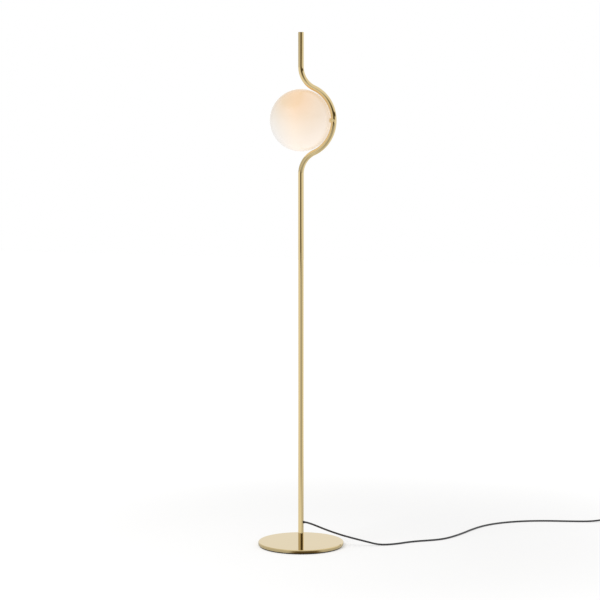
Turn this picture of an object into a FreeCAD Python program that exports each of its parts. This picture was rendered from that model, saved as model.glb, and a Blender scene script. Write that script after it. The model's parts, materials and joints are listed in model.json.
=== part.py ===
import FreeCAD, Part
import math
import os

# Globe floor lamp. Millimetres, +Z up. The origin is on the floor under the stem, at the centre
# of the round base. The stem's arc lies in the XZ plane and bulges towards +X round the globe.
# The globe's centre is on the stem's own axis.

V = FreeCAD.Vector
X_AXIS = V(1, 0, 0)
Y_AXIS = V(0, 1, 0)
Z_AXIS = V(0, 0, 1)

# ---- clearances ----------------------------------------------------------------------------------
seat = 0.05            # radial play of a pushed or screwed fit
air = 0.3              # gap between pieces that lie close without a fit
bite = 1.0             # how far two shapes of one piece run into each other where they join
close = 0.01           # two places nearer than this are the same

# ---- base ----------------------------------------------------------------------------------------
pad_d = 274.0
pad_t = 4.0
pad_hole_d = 40.0
base_d = 280.0
base_t = 10.0
base_top_round = 3.0
base_under_round = 0.8
bolt_d = 10.0
bolt_head_af = 17.0
bolt_head_t = 6.0
bolt_grip = 22.0       # thread length inside the stem insert
thread_run_out = 2.0   # thread hole beyond the bolt's end
washer_d = 21.0
washer_t = 1.6
recess_d = 27.0
recess_floor_t = 4.0   # steel left above the bolt's recess

# ---- stem ----------------------------------------------------------------------------------------
tube_d = 18.0
tube_wall = 1.5
arc_r = 112.5          # centre line of the arc round the globe
bend_r = 75.0          # centre line of the two reverse bends
globe_z = 1388.5       # height of the globe's centre
stem_top_z = 1670.0
insert_h = 30.0
end_cap_t = 1.5
end_cap_plug_h = 8.0

# ---- cord entry ----------------------------------------------------------------------------------
cord_d = 6.0
exit_z = 77.6          # height of the hole in the stem's side
wall_hole_d = 7.6
grommet_d = 9.0
grommet_tip_d = 7.2
grommet_l = 4.5
lead_shift = 3.0       # the lead lies this far off the tube's centre line
lead_bend_r = 10.0     # the lead's bend at either end, as large as the bore allows
shift_bend_r = 500.0   # long gentle bends with which the lead crosses the bore
shift_z = 600.0        # height at which it crosses

# ---- globe seat at the arc's apex ----------------------------------------------------------------
seat_plug_half_angle = 4.2    # degrees of the arc filled by the plug, each way
nipple_d = 10.0
nipple_bore_d = 7.0
nipple_in_plug = 1.2          # how far the nipple enters the plug
nipple_reach = 17.5           # from the carrier's inner face to its end in the lamp holder
saddle_d = 14.0
seat_screw_d = 4.0
seat_screw_head_d = 9.6
seat_screw_head_t = 1.8
seat_screw_bite = 2.2         # depth of the screw's tip in the plug

# ---- globe, its ring and its carrier -------------------------------------------------------------
globe_gap = 3.5               # clear gap between the stem and the glass
glass_t = 2.5
glass_hole_d = 60.0
ring_wall = 1.9
ring_depth = 13.0
carrier_t = 2.5
skirt_wall = 2.0
skirt_depth = 12.0
tab_t = 2.0
tab_reach = 2.3
tab_angle = 36.0              # each bayonet tab, degrees
tab_count = 3
stop_angle = 5.0
stop_gap_angle = 1.0          # between a tab and its stop
nut_af = 14.0
nut_t = 3.5

# ---- lamp holder and bulb ------------------------------------------------------------------------
holder_d = 28.0
holder_wall = 2.0
holder_lip = 1.0
holder_floor_gap = 2.0        # from the bulb's tip to the contacts' floor
holder_floor_t = 2.0
dome_l = 20.0
dome_neck_d = 16.0
dome_neck_l = 6.0
dome_shoulder = 2.0
dome_shoulder_l = 4.0
body_l = 29.0
body_spigot_l = 5.0
screw_shell_t = 0.5
screw_shell_l = 18.0
contact_button_d = 4.0
contact_button_t = 1.0
contact_strip_l = 11.0
contact_strip_w = 4.0
contact_strip_t = 0.7
rivet_d = 3.0
rivet_end = 1.0               # rivet standing out of the floor
bulb_cap_d = 13.8
bulb_cap_l = 17.0
bulb_cap_inset = 3.0          # the cap's open end, from the holder's mouth
bulb_cap_bevel = 2.2
bulb_cap_bevel_l = 1.5
bulb_tip_l = 2.4
bulb_tip_d = 4.8
bulb_tip_flare = 1.6
bulb_tip_cone_l = 1.2
bulb_tip_bevel = 0.6
bulb_skirt_l = 22.0
bulb_skirt_neck_l = 5.0
bulb_skirt_step = 0.3         # the skirt's edge lies this far inside the cap's
bulb_skirt_flare = 0.8
bulb_skirt_floor = 2.0
bulb_d = 45.0
bulb_centre_inset = 12.0      # the ball's centre, beyond the skirt's end
bulb_wall = 1.0
bulb_skirt_wall = 1.4
board_t = 1.6
led_count = 8
led_size = 2.8
led_t = 0.7

# ---- foot switch on the cord ---------------------------------------------------------------------
switch_at = V(921.7, 792.7, 0)   # centre of the switch on the floor
switch_heading = 45.0            # degrees from +X, the way the cord runs through it
switch_l = 78.0
switch_w = 48.0
switch_h = 25.0
switch_wall = 2.0
switch_split_z = 10.0            # joint of the two shells, and height of the cord's axis
switch_crown_r = 8.0
switch_under_round = 1.2
foot_d = 10.0
foot_t = 1.5
foot_x = 24.0
foot_y = 12.0
boot_l = 20.0
boot_d = 12.6
boot_tip_d = 8.4
boot_neck_d = 8.4
boot_flange_d = 12.0
boot_flange_t = 2.0
button_d = 28.0
button_round = 1.8
button_wall = 3.0
button_hollow = 4.0              # depth of the recess in its underside
button_proud = 3.5
button_travel = 3.0
button_flange_d = 30.8
button_flange_t = 2.0
spring_d = 8.4                   # mean diameter
spring_wire_d = 1.0
spring_turns = 4
spring_well_depth = 5.0
block_w = 20.0
block_l = 30.0
block_top_z = 10.0
contact_x = 8.0
contact_d = 3.0
contact_h = 1.0
contact_plate_l = 9.0
contact_plate_w = 4.0
contact_plate_t = 0.6
contact_plate_shift = 1.5        # the plate's middle, outwards from the contact
bridge_t = 1.0
bridge_w = 5.0
bridge_end = 3.0                 # bridge beyond each contact
bridge_post_d = 3.6
screw_y = 19.5
screw_d = 3.0
screw_head_d = 5.6
screw_head_t = 1.8
screw_post_d = 6.4
screw_grip = 8.0
screw_hole_l = 10.0
clamp_x = 28.0
clamp_l = 5.0
clamp_w = 16.0
clamp_over = 2.0                 # clamp above the sheath
core_d = 1.8

# ---- coil and plug -------------------------------------------------------------------------------
lead_in_l = 44.0                 # free cord from the switch to the coil, and from the coil to the plug
lead_level_l = 12.0              # level cord at either end of these
switch_approach_l = 25.0         # level cord before the switch
corner_share = 0.45              # share of a run that its corner's arc may take
coil_r = 40.75                   # outer turn, centre line
coil_pitch = 6.5                 # from turn to turn, and from layer to layer
coil_half_turns_in = 5           # half turns spiralling in, and as many out again
plug_axis_z = 7.0
plug_boot_l = 24.0
plug_boot_tip_d = 7.6
plug_l = 36.0
plug_w = 35.3
plug_t = 13.7
plug_neck_w = 15.0
plug_neck_t = 12.0
plug_corner = 4.5
plug_shoulder_l = 19.8           # from the boot's root to the full width
plug_boot_step = 0.5
pin_d = 4.0
pin_l = 19.0
pin_root_l = 10.0
pin_tip_round = 1.6
pin_gap = 18.6

# ---- sizes that follow ---------------------------------------------------------------------------
cord_r = cord_d / 2
tube_r = tube_d / 2
bore_r = tube_r - tube_wall
globe_r = arc_r - tube_r - globe_gap
base_z = pad_t
base_top_z = base_z + base_t
recess_z = base_top_z - recess_floor_t
arc_half_height = math.sqrt(arc_r ** 2 + 2 * arc_r * bend_r)
exit_x = tube_r + grommet_l
globe_centre = V(0, 0, globe_z)
ring_outer_r = glass_hole_d / 2 - air
ring_inner_r = ring_outer_r - ring_wall
glass_rim_x = math.sqrt(globe_r ** 2 - (glass_hole_d / 2) ** 2)
ring_inner_x = glass_rim_x - ring_depth
tab_outer_r = ring_inner_r - air
skirt_r = tab_outer_r - tab_reach
carrier_pole_x = globe_r - carrier_t
nipple_inner_x = carrier_pole_x - nipple_reach
skirt_inner_x = glass_rim_x + air - skirt_depth
dome_outer_x = carrier_pole_x - nut_t - 3 * air
dome_inner_x = dome_outer_x - dome_l
body_inner_x = dome_inner_x - body_l
cap_inner_x = body_inner_x + bulb_cap_inset
cap_outer_x = cap_inner_x + bulb_cap_l
skirt_end_x = cap_inner_x - bulb_skirt_l
bulb_centre_x = skirt_end_x - bulb_centre_inset
contact_floor_x = cap_outer_x + bulb_tip_l + holder_floor_gap
bulb_rim_r = math.sqrt((bulb_d / 2) ** 2 - (skirt_end_x - bulb_centre_x) ** 2)
board_r = bulb_rim_r - 2 * bulb_skirt_wall
inside_l = switch_l - 2 * switch_wall
inside_w = switch_w - 2 * switch_wall
button_top_z = switch_h + button_proud
flange_top_z = switch_h - switch_wall - air
flange_low_z = flange_top_z - button_flange_t
bridge_z = block_top_z + contact_h + button_travel + air
hollow_top_z = flange_low_z + button_hollow


# ---- shapes used by many pieces ------------------------------------------------------------------
def rod(radius, start, end):
    """A round bar from one point to another."""
    line = end - start
    return Part.makeCylinder(radius, line.Length, start, line)


def turned_x(profile):
    """A body of revolution about the globe's X axis, from (x, radius) corners."""
    points = [V(x, 0, globe_z + r) for x, r in profile]
    face = Part.Face(Part.makePolygon(points + points[:1]))
    return face.revolve(globe_centre, X_AXIS, 360)


def on_globe_axis(x):
    return V(x, 0, globe_z)


def hexagon(across_flats, start, line):
    """A hexagonal bar, from a start point along a line."""
    corner_r = across_flats / math.sqrt(3)
    corners = [V(corner_r * math.cos(math.radians(60 * i)), corner_r * math.sin(math.radians(60 * i)), 0)
               for i in range(6)]
    bar = Part.Face(Part.makePolygon(corners + corners[:1])).extrude(V(0, 0, line.Length))
    turn = FreeCAD.Rotation(Z_AXIS, line)
    bar.Placement = FreeCAD.Placement(start, turn)
    return bar


def arc_through(start, middle, end):
    return Part.Arc(start, middle, end).toShape()


def swept(edges, radius):
    """A round bar along a path of tangent lines and arcs."""
    path = Part.Wire(edges)
    first = edges[0]
    start = first.valueAt(first.FirstParameter)
    along = first.tangentAt(first.FirstParameter)
    ring = Part.Wire(Part.makeCircle(radius, start, along))
    return path.makePipeShell([ring], True, False)


def climbing_half_turn(at, heading, side, radius, rise):
    """Two tilted quarter turns that carry a line across by two radii and up by a rise."""
    across = side * (2 * radius) + V(0, 0, rise)
    slope = across * 0.5
    reach = heading * slope.Length
    diagonal = math.sqrt(0.5)
    quarter = at + slope + reach
    end = at + across
    first = arc_through(at, at + slope * (1 - diagonal) + reach * diagonal, quarter)
    second = arc_through(quarter, at + slope * (1 + diagonal) + reach * diagonal, end)
    return [first, second], end


def export(node, shape):
    if not shape.isValid():
        print("not valid:", node)
    shape.exportStep("parts/" + node + ".step")


# ---- base ----------------------------------------------------------------------------------------
def make_base_pad():
    pad = Part.makeCylinder(pad_d / 2, pad_t)
    return pad.cut(Part.makeCylinder(pad_hole_d / 2, pad_t))


def rim_edges(solid, z, radius):
    """The full circle of a given size at a given height."""
    return [e for e in solid.Edges
            if isinstance(e.Curve, Part.Circle)
            and abs(e.Curve.Radius - radius) < close
            and abs(e.BoundBox.ZMax - z) < close and abs(e.BoundBox.ZMin - z) < close]


def make_base_plate():
    plate = Part.makeCylinder(base_d / 2, base_t, V(0, 0, base_z))
    plate = plate.makeFillet(base_top_round, rim_edges(plate, base_top_z, base_d / 2))
    plate = plate.makeFillet(base_under_round, rim_edges(plate, base_z, base_d / 2))
    recess = rod(recess_d / 2, V(0, 0, base_z), V(0, 0, recess_z))
    bolt_hole = rod(bolt_d / 2 + air, V(0, 0, base_z), V(0, 0, base_top_z))
    return plate.cut(recess).cut(bolt_hole)


def make_base_washer():
    low = V(0, 0, recess_z - washer_t)
    high = V(0, 0, recess_z)
    return rod(washer_d / 2, low, high).cut(rod(bolt_d / 2 + air, low, high))


def make_base_bolt():
    head_top = V(0, 0, recess_z - washer_t)
    head = hexagon(bolt_head_af, head_top - V(0, 0, bolt_head_t), V(0, 0, bolt_head_t))
    shank = rod(bolt_d / 2, head_top, V(0, 0, base_top_z + bolt_grip))
    return head.fuse(shank).removeSplitter()


def make_stem_insert():
    insert = rod(bore_r - seat, V(0, 0, base_top_z), V(0, 0, base_top_z + insert_h))
    thread = rod(bolt_d / 2 + seat, V(0, 0, base_top_z), V(0, 0, base_top_z + bolt_grip + thread_run_out))
    return insert.cut(thread)


# ---- stem ----------------------------------------------------------------------------------------
def stem_edges(shift, low_z, high_z):
    """The stem's line, shifted sideways: straight, reverse bend, arc, reverse bend, straight."""
    big = arc_r + shift
    small = bend_r - shift
    lean = math.asin(arc_half_height / (arc_r + bend_r))
    bend_low = V(bend_r, 0, globe_z - arc_half_height)
    bend_high = V(bend_r, 0, globe_z + arc_half_height)
    join = V(big * math.cos(lean), 0, big * math.sin(lean))
    low_join = globe_centre + V(join.x, 0, -join.z)
    high_join = globe_centre + join
    half = lean / 2
    low_mid = bend_low + V(-small * math.cos(half), 0, small * math.sin(half))
    high_mid = bend_high + V(-small * math.cos(half), 0, -small * math.sin(half))
    low_start = bend_low - V(small, 0, 0)
    high_end = bend_high - V(small, 0, 0)
    edges = [Part.makeLine(V(shift, 0, low_z), low_start),
             arc_through(low_start, low_mid, low_join),
             arc_through(low_join, on_globe_axis(big), high_join),
             arc_through(high_join, high_mid, high_end)]
    if high_z > high_end.z:
        edges.append(Part.makeLine(high_end, V(shift, 0, high_z)))
    return edges


def make_stem_tube():
    edges = stem_edges(0, base_top_z, stem_top_z - end_cap_t)
    tube = swept(edges, tube_r).cut(swept(edges, bore_r))
    cord_hole = rod(wall_hole_d / 2, V(0, 0, exit_z), V(2 * tube_r, 0, exit_z))
    nipple_hole = rod(nipple_d / 2 + seat, on_globe_axis(arc_r), on_globe_axis(arc_r - 2 * tube_r))
    screw_hole = rod(seat_screw_d / 2 + seat, on_globe_axis(arc_r), on_globe_axis(arc_r) - V(0, 2 * tube_r, 0))
    return tube.cut(cord_hole).cut(nipple_hole).cut(screw_hole)


def make_tube_end_cap():
    low = stem_top_z - end_cap_t
    plug = rod(bore_r - seat, V(0, 0, low - end_cap_plug_h), V(0, 0, low))
    disc = rod(tube_r, V(0, 0, low), V(0, 0, stem_top_z))
    return plug.fuse(disc).removeSplitter()


def make_cord_grommet():
    """A rubber bush: a neck through the stem's wall and a blunt cone outside it."""
    centre = V(0, 0, exit_z)
    cone = Part.makeCone(grommet_d / 2, grommet_tip_d / 2, exit_x - bore_r, centre + V(bore_r, 0, 0), X_AXIS)
    outside = cone.cut(rod(tube_r + seat, centre - V(0, 0, tube_d), centre + V(0, 0, tube_d)))
    neck = rod(wall_hole_d / 2 - seat, centre + V(bore_r, 0, 0), centre + V(tube_r + bite, 0, 0))
    bush = outside.fuse(neck)
    return bush.cut(rod(cord_r + seat, centre, centre + V(2 * exit_x, 0, 0)))


# ---- lead inside the stem ------------------------------------------------------------------------
def crossing_edges(low_z, from_x, to_x):
    """Two long gentle arcs that carry the lead across the bore."""
    angle = math.acos(1 - abs(to_x - from_x) / (2 * shift_bend_r))
    rise = shift_bend_r * math.sin(angle)
    inset = shift_bend_r * (1 - math.cos(angle / 2))
    half_rise = shift_bend_r * math.sin(angle / 2)
    middle = V((from_x + to_x) / 2, 0, low_z + rise)
    start = V(from_x, 0, low_z)
    end = V(to_x, 0, low_z + 2 * rise)
    first = arc_through(start, V(from_x + inset, 0, low_z + half_rise), middle)
    second = arc_through(middle, V(to_x - inset, 0, end.z - half_rise), end)
    return [first, second], end


def elbow_edges():
    """The lead's last stretch at the apex: off the arc, round an elbow, and in along the globe's axis."""
    big = arc_r + lead_shift
    elbow_x = math.sqrt((big - lead_bend_r) ** 2 - lead_bend_r ** 2)
    centre = V(elbow_x, 0, globe_z - lead_bend_r)
    out = (centre - globe_centre).normalize()
    leave = globe_centre + out * big
    turn_from = math.atan2(out.z, out.x)
    turn_mid = (turn_from + math.pi / 2) / 2
    middle = centre + V(lead_bend_r * math.cos(turn_mid), 0, lead_bend_r * math.sin(turn_mid))
    top = centre + V(0, 0, lead_bend_r)
    return [arc_through(leave, middle, top), Part.makeLine(top, on_globe_axis(nipple_inner_x + bite))], leave


def lead_edges():
    """From the grommet's mouth, up the bore, and out at the apex."""
    far_x = -lead_shift
    bend_centre = V(far_x + lead_bend_r, 0, exit_z + lead_bend_r)
    low = bend_centre - V(0, 0, lead_bend_r)
    diagonal = lead_bend_r * math.sqrt(0.5)
    side = bend_centre - V(lead_bend_r, 0, 0)
    crossing, crossed = crossing_edges(shift_z, -lead_shift, lead_shift)
    stem = stem_edges(lead_shift, crossed.z, stem_top_z)
    elbow, leave = elbow_edges()
    arc_start = stem[1].valueAt(stem[1].LastParameter)
    bend_end = V(lead_shift, 0, globe_z - arc_half_height)
    arc_from = math.atan2(arc_start.z - globe_z, arc_start.x)
    arc_to = math.atan2(leave.z - globe_z, leave.x)
    big = arc_r + lead_shift
    arc_mid = (arc_from + arc_to) / 2
    middle = globe_centre + V(big * math.cos(arc_mid), 0, big * math.sin(arc_mid))
    return [Part.makeLine(V(exit_x, 0, exit_z), low),
            arc_through(low, bend_centre - V(diagonal, 0, diagonal), side),
            Part.makeLine(side, V(far_x, 0, shift_z)),
            crossing[0], crossing[1],
            Part.makeLine(crossed, bend_end),
            stem[1],
            arc_through(arc_start, middle, leave)] + elbow


def make_inner_lead():
    edges = lead_edges()
    lead = swept(edges, cord_r)
    length = sum(e.Length for e in edges)
    print("inner lead %.0f mm, volume ratio %.4f" % (length, lead.Volume / (math.pi * cord_r ** 2 * length)))
    return lead


# ---- globe seat ----------------------------------------------------------------------------------
def arc_slug(radius, half_angle):
    """A short piece of round bar bent to the stem's arc, centred at its apex."""
    angle = math.radians(half_angle)
    start = globe_centre + V(arc_r * math.cos(angle), 0, -arc_r * math.sin(angle))
    along = V(math.sin(angle), 0, math.cos(angle))
    disc = Part.Face(Part.Wire(Part.makeCircle(radius, start, along)))
    return disc.revolve(globe_centre, V(0, -1, 0), 2 * half_angle)


def make_seat_plug():
    """Brass plug inside the arc: it takes the nipple, and its channel leads the cord round the elbow."""
    plug = arc_slug(bore_r - 2 * seat, seat_plug_half_angle)
    lead = lead_edges()
    channel = swept(lead[-3:], cord_r + air)
    inner_x = arc_r - bore_r
    thread_end = on_globe_axis(inner_x + nipple_in_plug + seat)
    thread = rod(nipple_d / 2 + seat, on_globe_axis(inner_x - bite), thread_end)
    tip = rod(seat_screw_d / 2 + seat, on_globe_axis(arc_r) - V(0, bore_r - seat_screw_bite - seat, 0),
              on_globe_axis(arc_r) - V(0, tube_r, 0))
    return plug.cut(channel).cut(thread).cut(tip)


def make_seat_screw():
    """Screw in the stem's side, with a low round head that follows the tube."""
    apex = on_globe_axis(arc_r)
    shank = rod(seat_screw_d / 2, apex - V(0, bore_r - seat_screw_bite, 0), apex - V(0, tube_r + bite, 0))
    head_face = apex - V(0, tube_r + seat_screw_head_t, 0)
    head = rod(seat_screw_head_d / 2, apex - V(0, bore_r, 0), head_face)
    rim = [e for e in head.Edges if abs(e.BoundBox.YMax - head_face.y) < close]
    head = head.makeFillet(seat_screw_head_t / 3, rim)
    head = head.cut(arc_slug(tube_r + seat, 3 * seat_plug_half_angle))
    return head.fuse(shank).removeSplitter()


def make_seat_nipple():
    outer_x = arc_r - bore_r + nipple_in_plug
    nipple = rod(nipple_d / 2, on_globe_axis(nipple_inner_x), on_globe_axis(outer_x))
    return nipple.cut(rod(nipple_bore_d / 2, on_globe_axis(nipple_inner_x), on_globe_axis(outer_x)))


def make_seat_saddle():
    """Spacer between the stem and the carrier, hollowed to the tube on one side and the cap on the other."""
    spacer = rod(saddle_d / 2, on_globe_axis(carrier_pole_x), on_globe_axis(arc_r))
    spacer = spacer.cut(arc_slug(tube_r + seat, 3 * seat_plug_half_angle))
    spacer = spacer.cut(Part.makeSphere(globe_r + seat, globe_centre))
    return spacer.cut(rod(nipple_d / 2 + seat, on_globe_axis(0), on_globe_axis(arc_r)))


# ---- globe and carrier ---------------------------------------------------------------------------
def tab(inner_r, outer_r, low_x, high_x, middle_angle, width_angle):
    """One bayonet tab: a piece of a ring about the globe's axis."""
    start = math.radians(middle_angle - width_angle / 2)
    corners = [V(low_x, 0, inner_r), V(high_x, 0, inner_r), V(high_x, 0, outer_r), V(low_x, 0, outer_r)]
    face = Part.Face(Part.makePolygon(corners + corners[:1]))
    piece = face.revolve(V(0, 0, 0), X_AXIS, width_angle)
    piece.rotate(V(0, 0, 0), X_AXIS, math.degrees(start))
    piece.translate(globe_centre)
    return piece


def dish(outer_r, inner_r, rim_r):
    """A cap cut from a hollow ball about the globe's centre, with its rim at a given radius."""
    ball = Part.makeSphere(outer_r, globe_centre).cut(Part.makeSphere(inner_r, globe_centre))
    return ball.common(rod(rim_r, on_globe_axis(0), on_globe_axis(outer_r)))


def make_globe_carrier():
    """White cap that closes the globe's opening, with a skirt and three bayonet tabs inside."""
    cap = dish(globe_r, carrier_pole_x, tab_outer_r)
    deep = rod(skirt_r, on_globe_axis(skirt_inner_x), on_globe_axis(globe_r))
    deep = deep.cut(rod(skirt_r - skirt_wall, on_globe_axis(0), on_globe_axis(globe_r)))
    skirt = deep.common(Part.makeSphere(globe_r - carrier_t / 2, globe_centre))
    carrier = cap.fuse(skirt)
    for i in range(tab_count):
        angle = 360.0 / tab_count * i
        carrier = carrier.fuse(tab(skirt_r - skirt_wall / 2, tab_outer_r, skirt_inner_x, skirt_inner_x + tab_t,
                                   angle, tab_angle))
        stop = tab(skirt_r - skirt_wall / 2, tab_outer_r, skirt_inner_x, skirt_inner_x + 2 * tab_t + air,
                   angle - (tab_angle + stop_angle) / 2 - stop_gap_angle, stop_angle)
        carrier = carrier.fuse(stop)
    carrier = carrier.cut(rod(nipple_d / 2 + seat, on_globe_axis(0), on_globe_axis(arc_r)))
    return carrier.removeSplitter()


def make_carrier_nut():
    outer_x = carrier_pole_x - 2 * air
    nut = hexagon(nut_af, on_globe_axis(outer_x), V(-nut_t, 0, 0))
    return nut.cut(rod(nipple_d / 2 + seat, on_globe_axis(0), on_globe_axis(globe_r)))


def make_globe_ring():
    """Ring bonded into the glass, whose three tabs lock behind the carrier's."""
    ring = rod(ring_outer_r, on_globe_axis(ring_inner_x), on_globe_axis(glass_rim_x - air))
    ring = ring.cut(rod(ring_inner_r, on_globe_axis(0), on_globe_axis(globe_r)))
    low_x = skirt_inner_x + tab_t + air
    for i in range(tab_count):
        ring = ring.fuse(tab(skirt_r + air, ring_inner_r + ring_wall / 2, low_x, low_x + tab_t,
                             360.0 / tab_count * i, tab_angle))
    return ring.removeSplitter()


def make_globe_glass():
    ball = Part.makeSphere(globe_r, globe_centre, X_AXIS)
    ball = ball.cut(Part.makeSphere(globe_r - glass_t, globe_centre, X_AXIS))
    return ball.cut(rod(glass_hole_d / 2, on_globe_axis(0), on_globe_axis(2 * globe_r)))


# ---- lamp holder and bulb ------------------------------------------------------------------------
def make_holder_dome():
    r = holder_d / 2
    neck_x = dome_outer_x - dome_neck_l
    bore_end_x = nipple_inner_x - holder_lip
    neck_r = dome_neck_d / 2
    hole = nipple_d / 2 + seat
    return turned_x([(dome_inner_x, r), (neck_x - dome_shoulder_l, r), (neck_x, neck_r + dome_shoulder),
                     (dome_outer_x, neck_r), (dome_outer_x, hole), (bore_end_x, hole),
                     (bore_end_x, r - holder_wall), (dome_inner_x, r - holder_wall)])


def make_holder_body():
    """Sleeve with a spigot that screws into the dome and a floor that carries the contacts."""
    r = holder_d / 2
    inner = bulb_cap_d / 2 + air + screw_shell_t + seat
    top = dome_inner_x - seat
    floor_top_x = contact_floor_x + holder_floor_t
    spigot_r = r - holder_wall - seat
    hole = rivet_d / 2 + 2 * seat
    return turned_x([(body_inner_x, inner), (body_inner_x, r - holder_lip), (body_inner_x + holder_lip, r),
                     (top, r), (top, spigot_r), (top + body_spigot_l, spigot_r),
                     (top + body_spigot_l, spigot_r - holder_wall), (floor_top_x, spigot_r - holder_wall),
                     (floor_top_x, hole), (contact_floor_x, hole), (contact_floor_x, inner)])


def make_holder_shell():
    inner = bulb_cap_d / 2 + air
    outer = inner + screw_shell_t
    low_x = cap_inner_x - holder_lip
    high_x = low_x + screw_shell_l
    return turned_x([(low_x, inner), (low_x, outer), (high_x, outer), (high_x, inner)])


def make_holder_contact():
    """Springy centre contact: a button on a strip, with its rivet through the floor."""
    face_x = cap_outer_x + bulb_tip_l + air
    back_x = face_x + contact_button_t
    button = rod(contact_button_d / 2, on_globe_axis(face_x), on_globe_axis(back_x))
    strip = Part.makeBox(contact_strip_t, contact_strip_w, contact_strip_l,
                         V(back_x - seat, -contact_strip_w / 2, globe_z - contact_strip_l / 2))
    rivet_head_x = contact_floor_x + holder_floor_t + rivet_end
    rivet = rod(rivet_d / 2, on_globe_axis(back_x), on_globe_axis(rivet_head_x))
    return button.fuse(strip).fuse(rivet).removeSplitter()


def make_bulb_cap():
    r = bulb_cap_d / 2
    return turned_x([(cap_inner_x, 0), (cap_inner_x, r), (cap_outer_x - bulb_cap_bevel_l, r),
                     (cap_outer_x, r - bulb_cap_bevel), (cap_outer_x, 0)])


def make_bulb_tip():
    r = bulb_tip_d / 2
    end_x = cap_outer_x + bulb_tip_l
    return turned_x([(cap_outer_x, 0), (cap_outer_x, r + bulb_tip_flare), (end_x - bulb_tip_cone_l, r),
                     (end_x - bulb_tip_bevel, r), (end_x, r - bulb_tip_bevel), (end_x, 0)])


def make_bulb_skirt():
    """The bulb's white housing, flaring from the screw cap to the diffuser, with a ledge for the board."""
    r = bulb_cap_d / 2
    ledge_x = skirt_end_x + board_t
    neck_x = cap_inner_x - bulb_skirt_neck_l
    neck_r = r + bulb_skirt_flare
    return turned_x([(cap_inner_x, 0), (cap_inner_x, r - bulb_skirt_step), (neck_x, neck_r),
                     (skirt_end_x, bulb_rim_r), (skirt_end_x, board_r + seat), (ledge_x, board_r + seat),
                     (ledge_x, board_r - bulb_skirt_wall), (neck_x, neck_r - bulb_skirt_wall),
                     (cap_inner_x - bulb_skirt_floor, 0)])


def make_bulb_board():
    """Aluminium disc that carries a ring of light-emitting chips."""
    board = rod(board_r, on_globe_axis(skirt_end_x), on_globe_axis(skirt_end_x + board_t))
    for i in range(led_count):
        chip = Part.makeBox(led_t + seat, led_size, led_size,
                            V(skirt_end_x - led_t, -led_size / 2, globe_z + 0.6 * board_r - led_size / 2))
        chip.rotate(globe_centre, X_AXIS, 360.0 / led_count * i)
        board = board.fuse(chip)
    return board.removeSplitter()


def make_bulb_diffuser():
    centre = on_globe_axis(bulb_centre_x)
    ball = Part.makeSphere(bulb_d / 2, centre, X_AXIS)
    ball = ball.cut(Part.makeSphere(bulb_d / 2 - bulb_wall, centre, X_AXIS))
    return ball.cut(rod(bulb_d, on_globe_axis(skirt_end_x), on_globe_axis(skirt_end_x + bulb_d)))


# ---- cord ----------------------------------------------------------------------------------------
# The free cord's route from the grommet, chosen by eye: it slants down past the base's rim, lies on
# the floor in loose curves, and rises a little into the foot switch.
cord_points = [
    (exit_x, 0, exit_z), (20.5, 0, exit_z), (30, 0.8, 75.9), (45, 4, 68.9), (75, 13, 54.5), (118, 29, 37.0),
    (160, 47, 23.0), (200, 63, 11.8), (236, 74, cord_r), (262, 81, cord_r), (294, 109, cord_r),
    (332, 166, cord_r), (400, 217, cord_r), (428, 262, cord_r), (450, 345, cord_r), (462, 425, cord_r),
    (482, 500, cord_r), (522, 567, cord_r), (583, 620, cord_r), (656, 655, cord_r), (736, 676, cord_r),
    (813, 702, cord_r)]


def rounded_route(points, name):
    """Straight runs joined by tangent arcs, each as large as its two runs allow."""
    edges = []
    at = points[0]
    least = None
    for before, corner, after in zip(points, points[1:], points[2:]):
        back = before - corner
        ahead = after - corner
        half_turn = (math.pi - back.getAngle(ahead)) / 2
        reach = corner_share * min(back.Length, ahead.Length)
        radius = reach / math.tan(half_turn)
        least = radius if least is None else min(least, radius)
        start = corner + back.normalize() * reach
        end = corner + ahead.normalize() * reach
        inward = (start + end) * 0.5 - corner
        middle = corner + inward.normalize() * (radius / math.cos(half_turn) - radius)
        edges.append(Part.makeLine(at, start))
        edges.append(arc_through(start, middle, end))
        at = end
    edges.append(Part.makeLine(at, points[-1]))
    length = sum(e.Length for e in edges)
    print("%s: %.0f mm long, least bend radius %.0f mm" % (name, length, least))
    return edges, length


def cord_along(points, name):
    edges, length = rounded_route(points, name)
    tube = swept(edges, cord_r)
    print("  volume ratio %.4f" % (tube.Volume / (math.pi * cord_r ** 2 * length)))
    return tube


def in_switch_frame(x, y, z):
    """A point given from the switch's centre, along and across the cord's heading."""
    turn = FreeCAD.Rotation(Z_AXIS, switch_heading)
    return switch_at + turn.multVec(V(x, y, z))


def place_with_switch(shape):
    place = FreeCAD.Placement(switch_at, FreeCAD.Rotation(Z_AXIS, switch_heading))
    shape.Placement = place.multiply(shape.Placement)
    return shape


boot_end_x = switch_l / 2 + boot_l
coil_start_x = boot_end_x + lead_in_l


def make_cord_to_switch():
    points = [V(*p) for p in cord_points]
    points.append(in_switch_frame(-boot_end_x - switch_approach_l, 0, switch_split_z))
    points.append(in_switch_frame(-boot_end_x, 0, switch_split_z))
    return cord_along(points, "cord to the switch")


def make_cord_to_coil():
    points = [in_switch_frame(boot_end_x, 0, switch_split_z),
              in_switch_frame(boot_end_x + lead_level_l, 0, switch_split_z),
              in_switch_frame(coil_start_x - lead_level_l, 0, cord_r),
              in_switch_frame(coil_start_x, 0, cord_r)]
    return cord_along(points, "cord to the coil")


def half_turn_radii():
    """Radii of the coil's half turns: in at a steady rate, one that climbs, and out again."""
    inward = [coil_r - coil_pitch / 2 * i for i in range(coil_half_turns_in)]
    climb = coil_r - coil_pitch / 2 * coil_half_turns_in
    return inward + [climb] + inward[::-1]


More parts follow.
